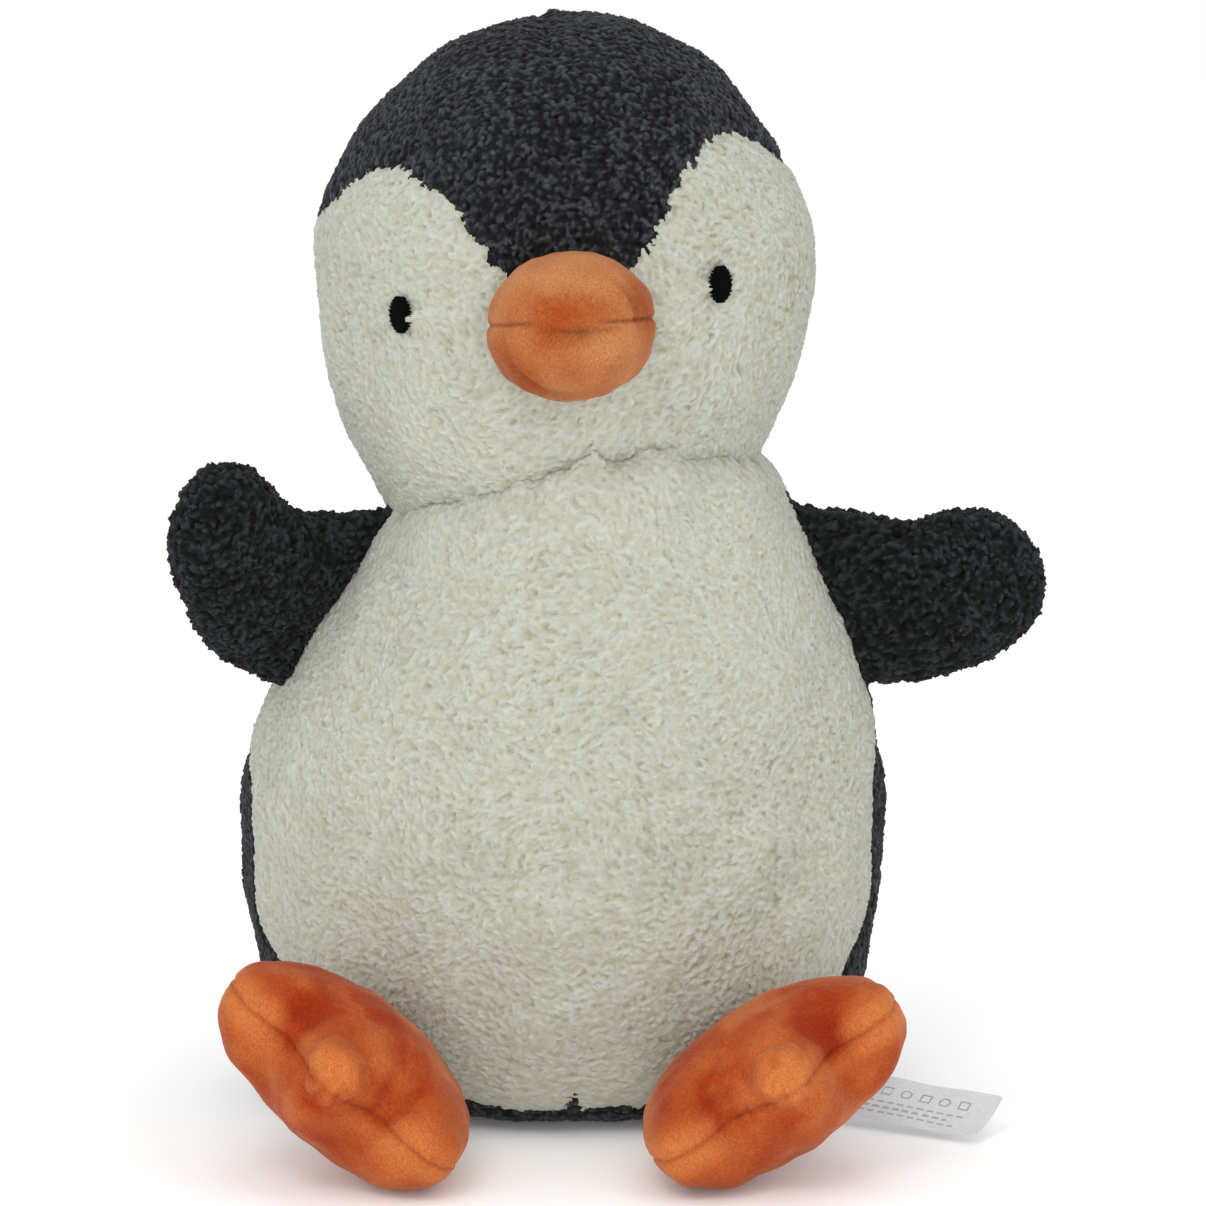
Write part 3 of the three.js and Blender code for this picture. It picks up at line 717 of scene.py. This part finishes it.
# ---------- torso, head and flippers in fleece ----------
def fleece_pieces(key, kinds, pieces, look, seed, shape=None, dent=None, calm=None, bend=None):
    form, panels, _ = forms[key]
    applied(form, "SUBSURF", levels=3, render_levels=3)
    mesh = form.data
    if shape:
        set_points(mesh, shape(points_of(mesh)))
    if key in ("torso", "head"):
        rim = 66 * MM if key == "torso" else 70 * MM
        smoothed(form, 40, lambda points: bell(np.linalg.norm(points - NECK, axis=1) - rim, 8 * MM))
    points, edges = points_of(mesh), edges_of(mesh)
    # The front panels reach a little further round than their nodes, but not behind the flippers.
    wrap = np.zeros((len(points), 3))
    if key == "head":
        wrap[:, 1] = 8 * MM
    if key == "torso":
        wrap[:, 1] = 4 * MM - 12 * MM * bell(points[:, 2] - 160 * MM, 26 * MM)
        # The belly's lower edge is a shallow curve, highest beside the feet.
        curve = np.clip(((points[:, 0] - 3 * MM) / (28 * MM)) ** 2, 0, 1.3)
        wrap[:, 2] = 2.8 * MM + 4.5 * MM * curve * np.clip(-points[:, 1] / (20 * MM), 0, 1)
    panel = nearest_node(points - wrap, panels)
    if key == "torso":
        panel[in_dart(points)] = TORSO.index("seat_panel")
    near = seam_distance(points, edges, panel)
    dips = 1.1 * MM * bell(near, 2.2 * MM) + 0.5 * MM * bell(near, 6 * MM)
    if key == "head":
        dips *= np.clip((np.linalg.norm(points - NECK, axis=1) - 70 * MM) / (14 * MM), 0, 1)
    dips -= 0.7 * MM * waves(points, 34 * MM, seed + 50)
    if dent:
        dips += dent(points)
    chosen = grow_fleece(mesh, dips, kinds, panel, seed, calm=calm)
    faces = quads_of(mesh)
    return split(form, settled_panels(panel[chosen], faces, len(panels)), pieces, look, bend)


def torso_shape(points):
    """The neck seam draws in the rim under the head until the piles meet, higher at the left."""
    from_neck = points - NECK
    radius = np.linalg.norm(from_neck, axis=1, keepdims=True)
    way = from_neck / radius
    upward = np.array((0, 0, 1.0)) - way * way[:, 2:]
    upward /= np.maximum(np.linalg.norm(upward, axis=1, keepdims=True), 1e-6)
    turn = np.degrees(np.arctan2(from_neck[:, 0], -from_neck[:, 1]))
    lift = (3 + 6 * bell(turn + 25, 32)) * MM * np.clip(1 - np.abs(turn) / 150, 0, 1)
    close = np.clip((84 * MM - radius) / (17 * MM), 0, 1)
    points = points + upward * lift[:, None] * close
    low = np.clip((135 * MM - points[:, 2]) / (30 * MM), 0, 1)
    points[:, 0] -= 1.7 * MM * low * np.clip(-points[:, 0] / (45 * MM), 0, 1)
    return points - way * 3.2 * MM * np.clip((74 * MM - radius) / (7 * MM), 0, 1)


def head_shape(points):
    """The crown is narrower than its panels, the right cheek fuller and the chin seam filled."""
    at_neck = np.linalg.norm(points - NECK, axis=1) - 71 * MM
    x, y, z = points.T.copy()
    chin = 2.4 * MM * bell(x - 9.6 * MM, 6 * MM) * bell(at_neck, 8 * MM) * (y < 0)
    y, z = y - 0.75 * chin, z - 0.65 * chin
    x = x + 2.6 * MM * bell(z - 229 * MM, 20 * MM) * np.clip((x - 25 * MM) / (30 * MM), 0, 1)
    x = 1.6 * MM + (x - 1.6 * MM) * (1 - 0.085 * np.clip((z - 270 * MM) / (40 * MM), 0, 1))
    return np.stack([x, y, z], 1)


def calm_chest(points):
    """The pile lies flatter on the chest and low on the belly."""
    high = np.clip((points[:, 2] - 120 * MM) / (55 * MM), 0, 1)
    low = np.clip((95 * MM - points[:, 2]) / (50 * MM), 0, 1)
    return 1 - 0.28 * high - 0.22 * low


def flipper_frame(side):
    hinge = joint_at[f"flipper_{side}_swing"]
    root, seam = np.array(hinge["pos_m"]), np.array(hinge["axis"])
    low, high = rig.box(f"flipper_{side}_stuffing")
    out = np.array((low + high) / 2) - root
    out -= seam * (out @ seam)
    return root, seam, out / np.linalg.norm(out)


def sewn_flipper(side, torso):
    """Spreads the flipper's sewn edge and brings it into the pile of the torso."""
    root, seam, out = flipper_frame(side)
    inward = Vector((1 if side == "left" else -1, 0, 0))

    def shape(points):
        local = points - root
        near = np.clip(1 - (local @ out) / (26 * MM), 0, 1)
        near = near**2 * (3 - 2 * near)
        points = points + np.outer((local @ seam) * 0.14 * near, seam)
        raised = 3.2 * MM if side == "left" else -1.5 * MM
        points[:, 2] += raised * np.clip((local @ out) / (55 * MM), 0, 1) ** 1.5
        gap = np.zeros(len(points))
        for index in np.flatnonzero(near > 0):
            start = Vector(points[index])
            found = torso.ray_cast(start, inward, 16 * MM)[3]
            if found is None:
                found = torso.find_nearest(start)[3]
            gap[index] = min(found, 14 * MM)
        edges = edges_of(forms["flipper_" + side][0].data)
        for _ in range(12):
            gap = 0.5 * gap + 0.5 * neighbour_mean(gap[:, None], edges)[:, 0]
        return points + np.outer(near * (gap + 3.5 * MM), inward)

    return shape


def in_dart(points):
    """The notch sewn into the lower edge of the belly, where the seat shows."""
    x, y, z = points.T
    return (y < -20 * MM) & (z < 16 * MM) & (np.abs(x - 3 * MM) < 3.6 * MM * (1 - z / (16 * MM)))


def eye_dimples(points):
    """The pile is stitched down under each eye, and one tuft stands over its inner edge."""
    total = np.zeros(len(points))
    for node, side in (("eye_left", 1), ("eye_right", -1)):
        low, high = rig.box(node)
        centre = np.array((low + high) / 2)
        total += 1.0 * MM * bell(np.linalg.norm(points - centre, axis=1), 5 * MM)
        tuft = centre + np.array((side * 3.6, -0.5, -1)) * MM
        total -= 4.2 * MM * bell(np.linalg.norm(points - tuft, axis=1), 2.1 * MM)
    return total


skins = fleece_pieces(
    "torso", [LONG_CURLS, SHORT_CURLS, SHORT_CURLS, SHORT_CURLS],
    [(node + "_fleece", "torso", "white_fleece" if node == "belly_panel" else "dark_fleece", [node])
     for node in TORSO],
    [WHITE, DARK, DARK, DARK], 11, torso_shape, calm=calm_chest)
skins += fleece_pieces(
    "head", [LONG_CURLS] * 2 + [SHORT_CURLS] * 4,
    [(node + "_fleece", "head", "white_fleece" if "face" in node else "dark_fleece", [node])
     for node in HEAD],
    [WHITE, WHITE, DARK, DARK, DARK, DARK], 22, head_shape, eye_dimples)
whole = bmesh.new()
for piece in skins[:4]:
    whole.from_mesh(piece.data)
torso_tree = BVHTree.FromBMesh(whole)
whole.free()
for seed, side in enumerate(("left", "right")):
    body = "flipper_" + side
    root, seam, out = flipper_frame(side)
    skins += fleece_pieces(
        body, [KNOBBLY_CURLS] * 2,
        [(f"{body}_{face}_fleece", body, "dark_fleece", [f"{body}_{face}"])
         for face in ("front", "back")],
        [DARK_FLIPPER, DARK_FLIPPER], 31 + seed, sewn_flipper(side, torso_tree),
        bend=(root + 1 * MM * out, root + 22 * MM * out))


# ---------- feet and beak in short-pile plush ----------
def plush_pieces(key, body, shape, look):
    form, panels, _ = forms[key]
    applied(form, "SUBSURF", levels=3, render_levels=3)
    mesh = form.data
    points, edges, normals = points_of(mesh), edges_of(mesh), normals_of(mesh)
    sink = np.zeros_like(points)
    if key == "beak":
        # The seam of the beak runs level, a little higher at the left than its panels' own edge.
        sink[:, 2] = 2.6 * MM * np.clip(0.4 - points[:, 0] / (34 * MM), 0, 1)
    panel = nearest_node(points - sink, panels)
    near = seam_distance(points, edges, panel)
    inward, nap, crease = shape(points, near, panel)
    moved = points - normals * inward[:, None]
    moved[:, 2] = np.maximum(moved[:, 2], LOWEST)
    set_points(mesh, moved)
    # Values for the plush material: paler pile with painted highlight and sheen, darker where shade is painted, and
    # painted shade in creases and seams.
    add_values(mesh, "nap", np.clip(nap, 0, 1))
    add_values(mesh, "pressed", np.clip(-nap, 0, 1))
    add_values(mesh, "crease", np.clip(crease, 0, 1))
    faces = quads_of(mesh)
    pieces = [(node + "_plush", body, "orange_plush", [node]) for node in panels]
    split(form, settled_panels(panel, faces, 2), pieces, [look] * 2)


def foot_shape(side):
    hinge = joint_at[f"foot_{side}_flex"]
    heel, across = np.array(hinge["pos_m"]), np.array(hinge["axis"])
    low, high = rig.box(f"foot_{side}_sole")
    toes = np.array((low + high) / 2) - heel
    toes -= across * (toes @ across)
    # The middle of the sole lies under the seam plane, so the toe direction is levelled with
    # the top's.
    low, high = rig.box(f"foot_{side}_top")
    over = np.array((low + high) / 2) - heel
    over -= across * (over @ across)
    toes = toes / np.linalg.norm(toes) + over / np.linalg.norm(over)
    toes /= np.linalg.norm(toes)
    up = np.cross(across, -toes)

    def shape(points, near, panel):
        local = points - heel
        along, sideways, above = local @ toes, local @ across, local @ up
        turn = np.arctan2(sideways, along - 40 * MM)
        puckers = np.sin(turn * 46 + 2 * np.sin(turn * 5))
        inward = 0.7 * MM * bell(near, 0.8 * MM) + 0.8 * MM * bell(near, 4 * MM)
        inward += 0.2 * MM * puckers * bell(near, 3.5 * MM)
        on_top = 1 / (1 + np.exp(-above / (1.5 * MM)))
        # Two notches part the toes; each runs back over the top as a valley.
        valleys = np.zeros(len(points))
        for middle in (-18 * MM, 18 * MM):
            line = middle * (0.72 + 0.28 * along / (70 * MM))
            reach = np.clip((along - 34 * MM) / (30 * MM), 0, 1) ** 1.4
            width = 4 * MM + 3 * MM * np.clip((66 * MM - along) / (25 * MM), 0, 1)
            valleys += bell(sideways - line, width) * reach
        inward += (3.6 * on_top + 1.3 * (1 - on_top)) * MM * valleys
        # The middle toe stands out as a small nub, its lower edge on the seam, with a painted highlight on it.
        over_seam = np.where(panel == 0, near, -near)
        nub = np.sqrt((sideways / (7.4 * MM)) ** 2 + ((over_seam - 5 * MM) / (7.4 * MM)) ** 2)
        nub += 0.1 * waves(points, 6 * MM, 71)
        front = np.clip((along - 45 * MM) / (12 * MM), 0, 1)
        raised = front / (1 + np.exp((nub - 1) * 6))
        hollows = (1.0 * bell(nub, 0.35) + 0.6 * bell(nub - 1.35, 0.25)) * MM
        inward -= 3.2 * MM * raised - hollows * front
        inward += 0.35 * MM * waves(points, 14 * MM, 5)
        # Paler pile in a band along the seam, partly painted sheen at the foot's rim, and random patches.
        nap = 0.2 + 0.25 * bell(near - 4 * MM, 3 * MM) + 0.18 * waves(points, 24 * MM, 9)
        # A painted highlight on the nub, the toe that stands out furthest.
        nub_highlight = (0.62 + 0.14 * waves(points, 4 * MM, 72)) * front * bell(nub - 0.3, 0.65)
        # Painted sheen at the rims of the outer toes, near the seam.
        outer_toes = np.clip(np.abs(sideways) / (12 * MM) - 1.4, 0, 1)
        nap += nub_highlight + 0.5 * bell(near, 8 * MM) * outer_toes
        # Painted shade in the valleys over the top and a painted shadow on the sole under the nub.
        nap -= 0.65 * valleys * on_top + 0.35 * front * bell(nub - 1.5, 0.5) * (1 - on_top)
        # Painted shade along the seam, less under the nub.
        crease = 0.3 * bell(near, 0.5 * MM) * (1 - 0.5 * raised)
        return inward, nap, crease

    return shape


def beak_shape(points, near, panel):
    low, high = points.min(0), points.max(0)
    x, z = points[:, 0] - (low[0] + high[0]) / 2, points[:, 2] - (low[2] + high[2]) / 2
    front = np.clip((points[:, 1].mean() + 6 * MM - points[:, 1]) / (12 * MM), 0, 1)
    at_side = np.clip((np.abs(x + 1 * MM) - 8 * MM) / (4 * MM), 0, 1)
    # The seam is drawn into a curved, puckered crease under the tip.
    fold = z - 0.5 * MM - 0.012 / MM * (x - 3 * MM) ** 2 * 0.6
    inside = front * np.clip((13 * MM - np.abs(x - 2.5 * MM)) / (5 * MM), 0, 1)
    inward = 0.9 * MM * bell(near, 0.9 * MM) * at_side + 0.5 * MM * bell(near, 4 * MM)
    pinch = np.hypot(x - 4 * MM, z)
    inward += inside * (1.1 * MM * bell(fold, 1.3 * MM) + 1.0 * MM * bell(pinch, 4.5 * MM))
    turn = np.arctan2(z - 6 * MM, x - 3 * MM)
    puckers = np.sin(turn * 38 + 1.5 * np.sin(turn * 3))
    inward += 0.22 * MM * puckers * inside * bell(fold + 3 * MM, 3.5 * MM) * 1.5
    # Near the root the cover is drawn in along a crease round the lower left and the right.
    out = np.hypot(x / 1.08, z)
    way = np.degrees(np.arctan2(z, x))
    around = bell(way + 130, 40) + bell(way - 25, 26)
    crease_line = bell(out - 18.3 * MM, 0.9 * MM) * around
    inward += 0.9 * MM * crease_line + 0.25 * MM * waves(points, 11 * MM, 15)
    # Darker over the middle of the front.
    pressed = bell(np.hypot(x / 1.7, z - 6 * MM), 5.5 * MM) * front
    nap = 0.4 + 0.2 * waves(points, 14 * MM, 19) - 1.2 * pressed
    # Lighter at the lower right and along the top.
    nap += 0.5 * bell(np.hypot(x - 10 * MM, z + 3 * MM), 6 * MM) + 0.4 * bell(z - 15 * MM, 5 * MM)
    # Painted shade beyond the root crease, where the beak meets the head.
    nap -= 0.8 * np.clip((out - 18.5 * MM) / (2 * MM), 0, 1) * around
    # Painted shade in the side seams, along the root crease, in the fold under the tip and its pinch, and beyond the
    # root crease.
    crease = 0.6 * bell(near, 0.55 * MM) * at_side + 0.55 * crease_line
    crease += inside * (0.3 * bell(fold, 0.9 * MM) + 0.25 * bell(pinch, 2.5 * MM))
    return inward, nap, crease + 0.25 * np.clip((out - 18.5 * MM) / (2 * MM), 0, 1) * around


plush_pieces("beak", "head", beak_shape, PEACH)
for side in ("left", "right"):
    plush_pieces("foot_" + side, "foot_" + side, foot_shape(side), ORANGE)


# ---------- eyes ----------
STRAND_SIDES = 6
EYE_ROWS = 18
EYE_THREAD, CLOSING_THREAD, NECK_THREAD = 0.46 * MM, 0.45 * MM, 0.4 * MM


def tube(path, radius, points, faces):
    """Adds a closed round strand along a path to lists of points and faces."""
    sides = STRAND_SIDES
    path = np.asarray(path)
    along = np.gradient(path, axis=0)
    along /= np.linalg.norm(along, axis=1, keepdims=True)
    guide = np.array([0.31, 0.77, 0.55])
    first = np.cross(along, guide)
    first /= np.linalg.norm(first, axis=1, keepdims=True)
    second = np.cross(along, first)
    start = len(points)
    for i, centre in enumerate(path):
        size = radius * (0.45 if i in (0, len(path) - 1) else 1)
        for k in range(sides):
            angle = 2 * math.pi * k / sides
            points.append(centre + size * (math.cos(angle) * first[i] + math.sin(angle) * second[i]))
    for i in range(len(path) - 1):
        for k in range(sides):
            a, b = start + i * sides + k, start + i * sides + (k + 1) % sides
            faces.append([a, b, b + sides, a + sides])
    faces.append([start + k for k in reversed(range(sides))])
    faces.append([start + (len(path) - 1) * sides + k for k in range(sides)])


def strands(name, paths, radius, body, node):
    """Black thread along several paths, as one piece that stands for a CAD node."""
    points, faces = [], []
    for path in paths:
        tube(path, radius, points, faces)
    made = made_from(name, points, faces)
    made.data.materials.append(THREAD)
    made.data.polygons.foreach_set("use_smooth", [True] * len(made.data.polygons))
    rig.ride(made, body)
    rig.slot(made, "black_thread")
    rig.replaces(made, node)


head_centre = np.array(sum(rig.box("head_stuffing"), Vector()) / 2)
for node in ("eye_left", "eye_right"):
    low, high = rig.box(node)
    centre = np.array((low + high) / 2)
    tall = 0.96 * (high.z - low.z)
    out = centre - head_centre
    out[2] *= 0.3
    out /= np.linalg.norm(out)
    across = np.cross(out, (0, 0, 1))
    across /= np.linalg.norm(across)
    up = np.cross(across, out)
    paths = []
    for row in range(EYE_ROWS):
        level = (row + 0.5) / EYE_ROWS * 2 - 1
        width = (4.5 + 0.35 * math.sin(row * 2.7)) * MM * math.sqrt(1 - level**2 * 0.94)
        sweep = np.linspace(-1, 1, 9)
        dome = 1.5 * MM * np.sqrt(np.maximum(0, 1 - 0.8 * level**2)) * (1 - sweep**2 * 0.9) ** 0.5
        height = level * tall / 2 + 0.12 * MM * math.sin(row * 2.1)
        paths.append(centre + np.outer(sweep * width, across) + height * up + np.outer(dome, out))
    strands(node + "_stitches", paths, EYE_THREAD, "head", node)


# ---------- care label ----------
LABEL_LONG, LABEL_WIDE = 70 * MM, 20 * MM
LABEL_LEAN = math.radians(17)
LABEL_INSET = 2 * MM
LABEL_GRID = (281, 81)
hinge = joint_at["label_swing"]
label_nodes = points_of(frame["nodes"]["care_label"].data)
middle = label_nodes.mean(0)
spread = np.linalg.svd(label_nodes - middle, full_matrices=False)[2]
along, broad = spread[0], spread[1]
if along @ (middle - np.array(hinge["pos_m"])) < 0:
    along = -along
if broad[2] < 0:
    broad = -broad
facing = np.cross(broad, along)
if facing[1] > 0:
    facing = -facing
# The ribbon leans back about its lower edge.
lower_edge = middle - broad * LABEL_WIDE / 2
upright, turned = math.cos(LABEL_LEAN), math.sin(LABEL_LEAN)
broad, facing = upright * broad - turned * facing, upright * facing + turned * broad
middle = lower_edge + broad * LABEL_WIDE / 2
tip = middle + along * (((label_nodes - middle) @ along).max() - LABEL_INSET)
start = tip - along * LABEL_LONG
columns, rows = LABEL_GRID
u, v = np.meshgrid(np.linspace(0, 1, columns), np.linspace(-1, 1, rows), indexing="ij")
# The free corners are rounded.
corner = np.clip((u - 0.965) / 0.035, 0, 1)
v_in = v * (1 - 0.13 * (1 - np.sqrt(1 - corner**2)))
ripple = 1.1 * MM * np.sin(u * 5.2 + 0.4) * u + 0.35 * MM * np.sin(u * 17) * u * v
curl = 1.2 * MM * u**3 * v**2
grid = (
    start
    + np.multiply.outer(u * LABEL_LONG, along)
    + np.multiply.outer(v_in * LABEL_WIDE / 2, broad)
    + np.multiply.outer(ripple + curl, facing)
)
index = np.arange(columns * rows).reshape(columns, rows)
faces = np.stack([index[:-1, :-1], index[1:, :-1], index[1:, 1:], index[:-1, 1:]], -1).reshape(-1, 4)
label = made_from("care_label_ribbon", grid.reshape(-1, 3), faces)
# Plain marks in millimetres: squares and circles over three dashed lines.
x, y = u * LABEL_LONG / MM, v * LABEL_WIDE / 2 / MM
ink = np.zeros_like(x)
for k in range(5):
    at = 34 + 6.4 * k
    shape = [
        np.maximum(np.abs(x - at), np.abs(y - 3.6)) - 1.5,
        np.hypot(x - at, y - 3.6) - 1.6,
    ][k % 2]
    ink[np.abs(shape) < 0.25] = 0.9
for k, (left, right) in enumerate([(24, 62), (24, 57), (24, 60)]):
    bar = (np.abs(y + 1.2 + 2.4 * k) < 0.42) & (x > left) & (x < right)
    ink[bar & (np.sin(x * 1.9 + k) > -0.55)] = 0.75
add_values(label.data, "ink", ink.ravel())
SATIN, nodes, links, shader = material("white_satin")
weave = noise(nodes, links, place(nodes), 2400, 1, (1, 0.15, 1))
cloth = ramp(nodes, links, weave, [(0.3, (0.60, 0.615, 0.63)), (0.7, (0.70, 0.715, 0.73))])
printed = ramp(nodes, links, attribute(nodes, "ink"), [(0, (1, 1, 1)), (1, (0.4, 0.41, 0.43))])
links.new(blended(nodes, links, "MULTIPLY", 1.0, cloth, printed), shader.inputs["Base Color"])
shader.inputs["Roughness"].default_value = 0.42
shader.inputs["Sheen Weight"].default_value = 0.2
bumped(nodes, links, shader, [(weave, 0.00015, 0.5)])
label.data.materials.append(SATIN)
label.data.polygons.foreach_set("use_smooth", [True] * len(label.data.polygons))
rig.ride(label, "label")
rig.slot(label, "white_satin")
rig.replaces(label, "care_label")
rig.sheet(label, flat=(LABEL_WIDE, LABEL_LONG), held="hung", rests_on=["back_right_fleece"])


# ---------- threads and fill inside ----------
CLOSING_STITCHES = 12


def stitch_paths():
    """Slanted stitches down the centre back seam, laid on the pile."""
    low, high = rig.box("back_closing_thread")
    for k in range(CLOSING_STITCHES):
        level = low.z + (high.z - low.z) * (k + 0.5) / CLOSING_STITCHES
        depth = torso_tree.ray_cast(Vector((0, 0.3, level)), Vector((0, -1, 0)))[0].y
        side = 1 if k % 2 else -1
        sweep = np.linspace(-1, 1, 7)
        y = depth + MM * (0.6 - 1.4 * sweep**2)
        yield np.stack([2.2 * MM * sweep, y, level + side * 1.1 * MM * sweep], 1)


strands("back_closing_stitches", stitch_paths(), CLOSING_THREAD, "torso", "back_closing_thread")
ring = points_of(frame["nodes"]["neck_thread"].data)
centre = ring.mean(0)
axes = np.linalg.svd(ring - centre, full_matrices=False)[2]
turns = np.linspace(0, 2 * math.pi, 120, endpoint=False)
# The thread is drawn tight, down into the pile.
size = 0.975 * np.linalg.norm(ring - centre, axis=1).mean()
wobble = 1 + 0.002 * np.sin(turns * 24)
circle = (
    centre
    + np.outer(size * wobble * np.cos(turns), axes[0])
    + np.outer(size * wobble * np.sin(turns), axes[1])
)
strands("neck_seam_thread", [circle], NECK_THREAD, "neck_seam", "neck_thread")

LARGE = 90 * MM
FILLED = ["torso_stuffing", "head_stuffing", "neck_stuffing", "beak_stuffing", "pellet_bag"]
FILLED += [f"{limb}_{side}_stuffing" for limb in ("flipper", "foot") for side in ("left", "right")]
for node in FILLED:
    low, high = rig.box(node)
    fill = form_round(node + "_fill", [node], (2.5 if high.x - low.x < LARGE else 4) * MM, 4)
    points, normals = points_of(fill.data), normals_of(fill.data)
    if node == "pellet_bag":
        lumps = 0.4 * MM * waves(points, 5 * MM, 4)
    else:
        lumps = 0.8 * MM * waves(points, 12 * MM, 3)
    inset = 4.5 * MM if node in ("torso_stuffing", "head_stuffing") else 2.8 * MM
    set_points(fill.data, points + normals * (lumps - inset)[:, None])
    if node.startswith("flipper"):
        root, seam, out = flipper_frame(node.split("_")[1])
        local = points_of(fill.data) - root
        away = local @ out
        slim = 0.5 + 0.5 * np.clip(away / (28 * MM), 0, 1)[:, None]
        set_points(fill.data, root + np.outer(away, out) + (local - np.outer(away, out)) * slim)
    fill.data.materials.clear()
    fill.data.materials.append(POUCH if node == "pellet_bag" else FILL)
    fill.data.polygons.foreach_set("use_smooth", [True] * len(fill.data.polygons))
    owner = next(body for body, members in bodies.items() if node in members)
    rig.ride(fill, owner)
    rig.slot(fill, "pellets" if node == "pellet_bag" else "fibre_fill")
    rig.replaces(fill, node)
    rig.padded(fill, 0.6)


# ---------- floor and light ----------
HALF = 6  # metres from the middle of the floor to its edge
corners = [(-HALF, -HALF, 0), (HALF, -HALF, 0), (HALF, HALF, 0), (-HALF, HALF, 0)]
floor = made_from("floor", corners, [(0, 1, 2, 3)])
floor_look = plain_material("floor", (0.985, 0.985, 0.985), (1, 1, 1), 3, 1, shine=0)
lit = floor_look.node_tree.nodes["Principled BSDF"]
lit.inputs["Emission Color"].default_value = (1, 1, 1, 1)
lit.inputs["Emission Strength"].default_value = 0.04
floor.data.materials.append(floor_look)
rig.stage(floor)
world = bpy.data.worlds.new("studio")
scene.world = world
world.use_nodes = True
world.node_tree.nodes["Background"].inputs["Color"].default_value = (1, 1, 1, 1)
world.node_tree.nodes["Background"].inputs["Strength"].default_value = 1.0


def area_light(name, location, size, power, look_at=(0, 0, 0.15)):
    light = bpy.data.lights.new(name, "AREA")
    light.shape = "DISK"
    light.size = size
    light.energy = power
    made = bpy.data.objects.new(name, light)
    scene.collection.objects.link(made)
    made.location = location
    made.rotation_euler = (Vector(look_at) - Vector(location)).to_track_quat("-Z", "Y").to_euler()


area_light("key", (-0.4, -1.2, 1.5), 0.7, 4)
area_light("top", (0.1, 0.2, 1.8), 1.0, 2.5)
area_light("fill", (0, -1.5, 0.2), 0.8, 7)
scene.view_settings.view_transform = "Standard"

with open("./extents.json", "w") as file:
    json.dump({"cad": cad_bounds, "visual": [list(corner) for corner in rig.bounds()]}, file)
